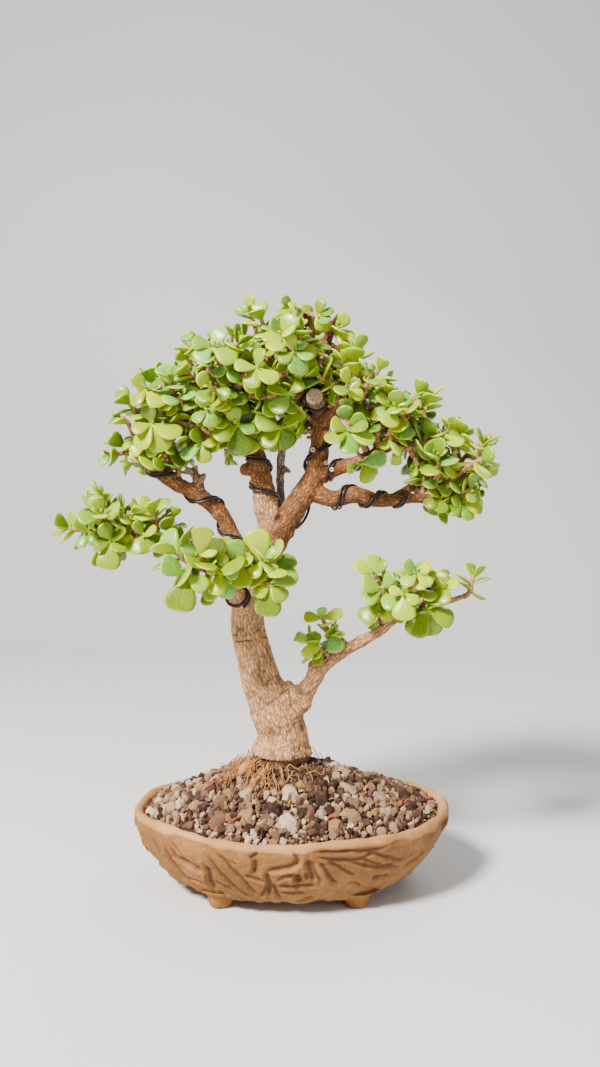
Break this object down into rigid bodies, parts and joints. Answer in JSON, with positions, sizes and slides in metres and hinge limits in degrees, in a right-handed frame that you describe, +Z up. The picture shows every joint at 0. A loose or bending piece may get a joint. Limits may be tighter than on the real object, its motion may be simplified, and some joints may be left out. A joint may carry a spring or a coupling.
{
  "type": "potted jade plant",
  "caption": "Dwarf jade plant grown as a bonsai, with a leaning trunk, wired branches and fleshy leaf pads, in a carved oval stoneware pot filled with grit.",
  "frame": {"origin": "middle of the whole plant's bounding box in plan, at the height of the surface that the pot's feet stand on", "axes": "+Z up along the plant, the pot's length along X, the front of the tree faces -Y"},
  "size_m": [0.242, 0.132, 0.3123],
  "materials": {
    "stoneware": "unglazed, matt, tan with brown in the carving",
    "grit": "loose mixed grit, matt",
    "bark": "rough bark, matt",
    "wire": "dark brown anodised, satin",
    "leaf": "fleshy leaf, soft gloss",
    "screen": "black plastic mesh"
  },
  "bodies": {
    "root": {"drain_screen_left": "screen", "drain_screen_right": "screen", "pot": "stoneware", "soil": "grit", "spray_crown_left_1": "leaf", "spray_crown_left_2": "leaf", "spray_crown_left_3": "leaf", "spray_crown_left_4": "leaf", "spray_crown_left_5": "leaf", "spray_crown_right_1": "leaf", "spray_crown_right_2": "leaf", "spray_crown_right_3": "leaf", "spray_crown_right_4": "leaf", "spray_crown_shoulder_1": "leaf", "spray_crown_shoulder_2": "leaf", "spray_crown_shoulder_3": "leaf", "spray_crown_shoulder_4": "leaf", "spray_crown_shoulder_5": "leaf", "spray_crown_shoulder_6": "leaf", "spray_crown_top_1": "leaf", "spray_crown_top_2": "leaf", "spray_crown_top_3": "leaf", "spray_crown_top_4": "leaf", "spray_crown_top_5": "leaf", "spray_crown_top_6": "leaf", "spray_crown_top_7": "leaf", "spray_front_left_1": "leaf", "spray_front_left_2": "leaf", "spray_front_middle_1": "leaf", "spray_front_middle_2": "leaf", "spray_left_inner_1": "leaf", "spray_left_outer_1": "leaf", "spray_left_outer_2": "leaf", "spray_left_outer_3": "leaf", "spray_left_outer_4": "leaf", "spray_low_right_1": "leaf", "spray_low_right_2": "leaf", "spray_low_right_3": "leaf", "spray_low_right_4": "leaf", "spray_low_start_1": "leaf", "spray_low_start_2": "leaf", "spray_low_tip_1": "leaf", "spray_right_outer_1": "leaf", "spray_right_outer_2": "leaf", "spray_right_outer_3": "leaf", "spray_right_outer_4": "leaf", "spray_right_outer_5": "leaf", "spray_right_outer_6": "leaf", "spray_right_upper_1": "leaf", "spray_right_upper_2": "leaf", "spray_right_upper_3": "leaf", "spray_right_upper_4": "leaf", "trunk": "bark", "wire_front": "wire", "wire_left_leader": "wire", "wire_left_up": "wire", "wire_right_leader": "wire", "wire_right_low": "wire", "wire_right_middle": "wire"}
  },
  "joints": []
}
